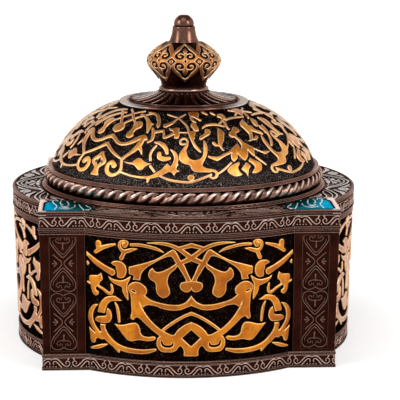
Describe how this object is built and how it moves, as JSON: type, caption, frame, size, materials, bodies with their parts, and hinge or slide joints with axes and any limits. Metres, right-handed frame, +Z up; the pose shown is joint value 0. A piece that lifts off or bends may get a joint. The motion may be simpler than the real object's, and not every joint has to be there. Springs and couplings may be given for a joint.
{
  "type": "decorative box",
  "caption": "Keepsake box with bowed sides, corner pilasters and a domed lift-off lid with a knob.",
  "frame": {"origin": "centre of the base's underside, where the box stands", "axes": "+Z up through the finial, front of the box faces -Y, +X to the right seen from the front"},
  "size_m": [0.1226, 0.1226, 0.115],
  "materials": {
    "bronze": "dark brown patina",
    "polished_bronze": "rubbed patina",
    "blackened_bronze": "stippled",
    "gilding": "worn gilding",
    "enamel": "glossy enamel",
    "velvet": "short pile",
    "felt": "matt felt",
    "steel": "plain"
  },
  "bodies": {
    "box_body": {"base_plinth": "bronze", "pilaster_front_left": "bronze", "pilaster_front_right": "bronze", "pilaster_back_left": "bronze", "pilaster_back_right": "bronze", "panel_front": "blackened_bronze", "panel_right": "blackened_bronze", "panel_back": "blackened_bronze", "panel_left": "blackened_bronze", "top_rail": "bronze", "wall_lining": "velvet", "floor_lining": "velvet", "base_felt": "felt", "base_screws": "steel"},
    "lid": {"lid_cornice": "bronze", "inlay_front_left": "enamel", "inlay_front_right": "enamel", "inlay_back_left": "enamel", "inlay_back_right": "enamel", "locating_rim": "bronze", "dome_ring": "bronze", "rope_ring": "bronze", "dome_shell": "blackened_bronze", "collar": "bronze", "neck_ring": "bronze", "finial_bulb": "blackened_bronze", "finial_stem": "polished_bronze", "finial_cap": "polished_bronze", "finial_rod": "steel", "finial_washer": "steel", "finial_nut": "steel"}
  },
  "joints": [
    {"name": "lid_lift", "type": "slide", "parent": "box_body", "child": "lid", "axis": [0, 0, 1], "range_m": [0, 0.06]}
  ]
}
